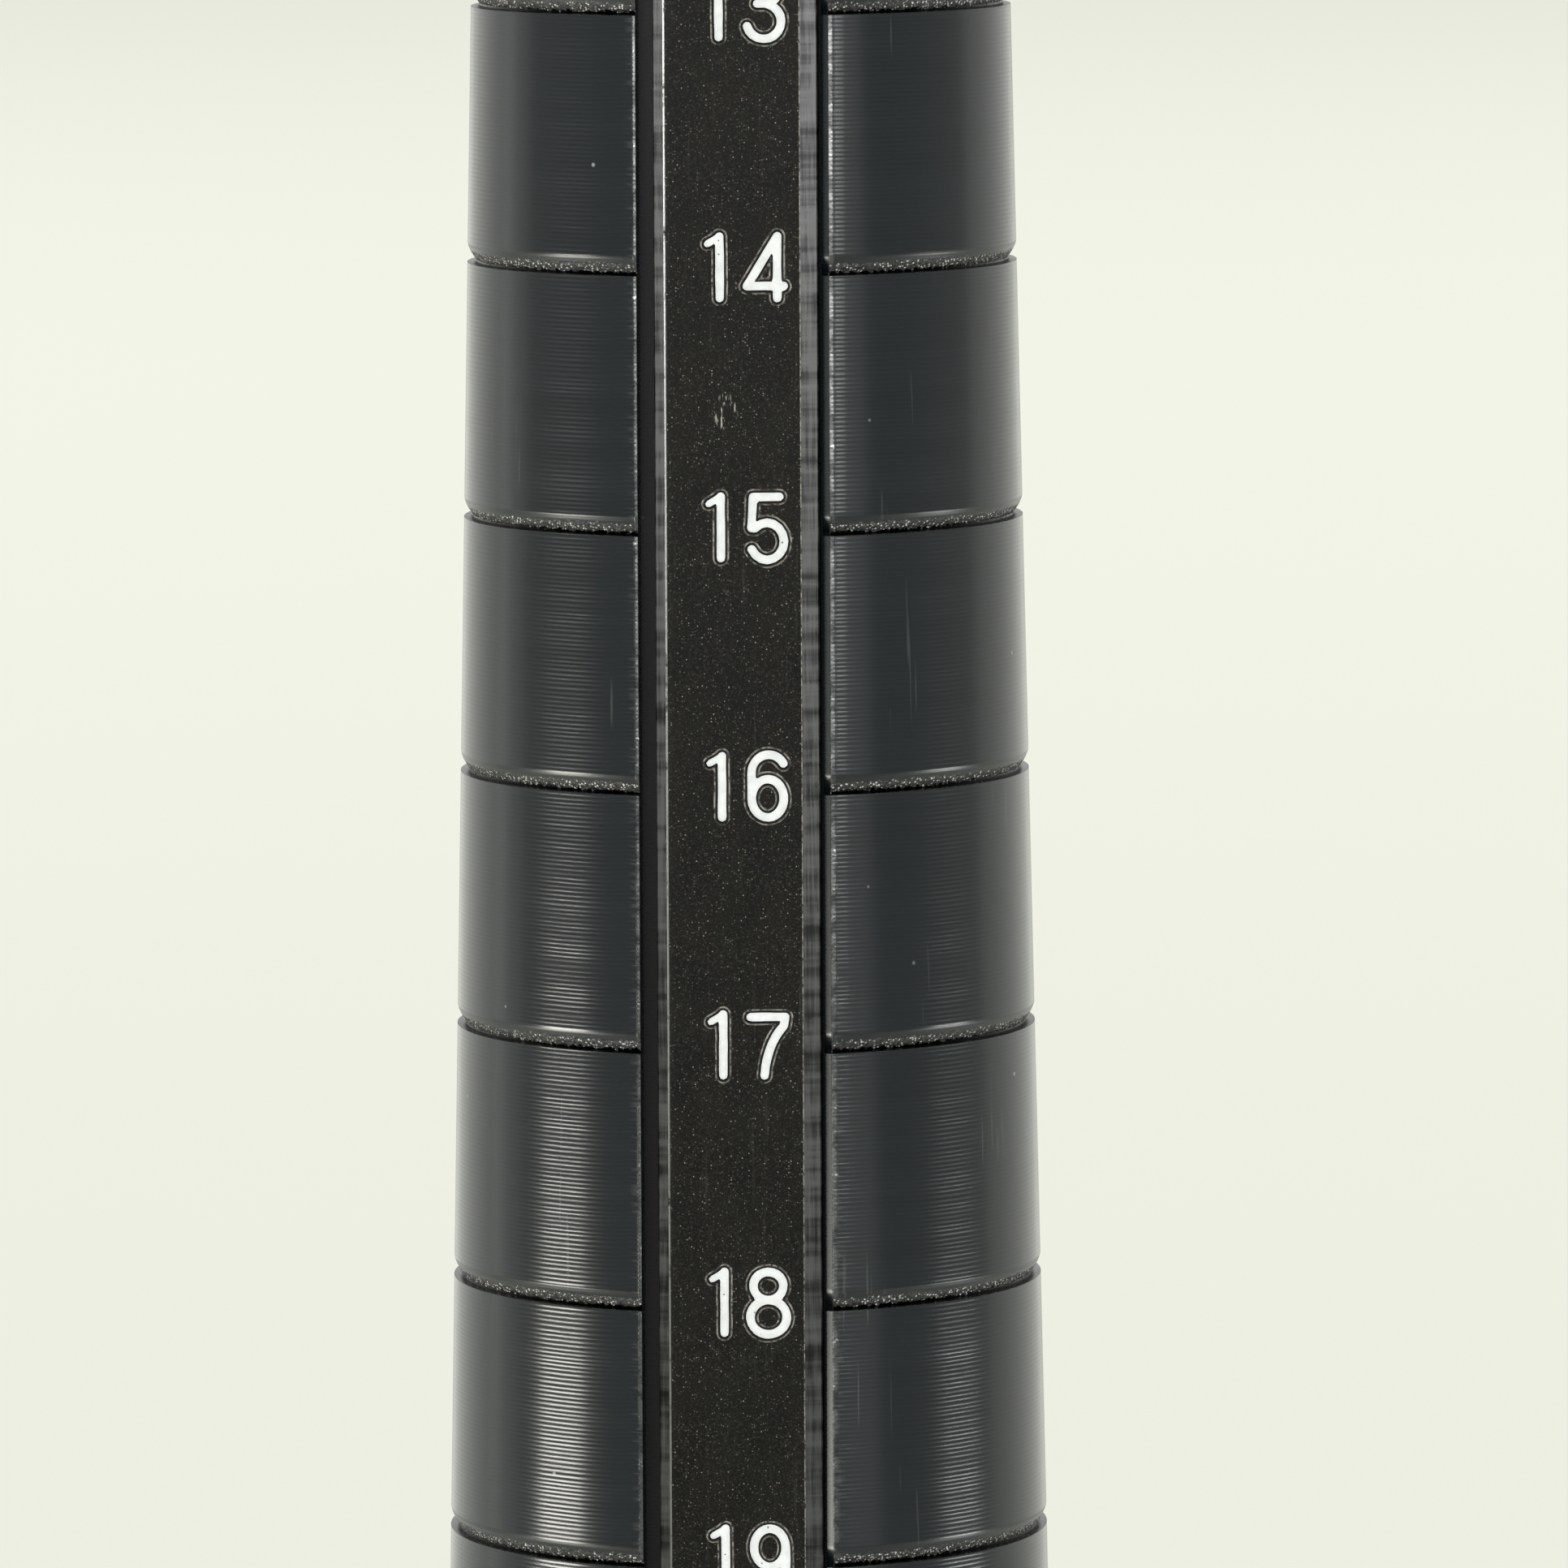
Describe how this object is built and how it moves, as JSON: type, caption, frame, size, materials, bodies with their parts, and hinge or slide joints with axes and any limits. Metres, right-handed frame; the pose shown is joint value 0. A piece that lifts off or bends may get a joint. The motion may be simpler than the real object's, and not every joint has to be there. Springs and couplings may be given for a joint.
{
  "type": "ring mandrel",
  "caption": "Tapered ring-size stick with a groove at each size, an engraved number strip in a milled channel, a metal ferrule and a turned handle.",
  "frame": {"origin": "centre of the foot pad's lower face, where the stick stands", "axes": "+Z along the taper's axis towards the small end; the number strip faces -Y; +X to the right as the numbers are read"},
  "size_m": [0.032, 0.032, 0.346],
  "materials": {
    "turned_plastic": "turned black acetal, semi-gloss with fine lathe lines",
    "anodised_strip": "black anodised aluminium, engraved and filled with white paint",
    "adhesive_film": "clear bonding film",
    "blackened_screw": "blackened steel",
    "ferrule_aluminium": "turned, bright",
    "fixing_steel": "zinc-plated steel",
    "insert_brass": "turned brass",
    "handle_plastic": "turned black plastic, satin",
    "pad_rubber": "matt black rubber"
  },
  "bodies": {
    "root": {"tapered_body": "turned_plastic", "number_strip": "anodised_strip", "strip_adhesive": "adhesive_film", "strip_screw_base": "blackened_screw", "strip_screw_tip": "blackened_screw", "ferrule": "ferrule_aluminium", "ferrule_set_screw": "blackened_screw", "threaded_insert": "insert_brass", "handle_grip": "handle_plastic", "handle_bolt": "fixing_steel", "bolt_washer": "fixing_steel", "lock_washer": "fixing_steel", "foot_pad": "pad_rubber"}
  },
  "joints": []
}
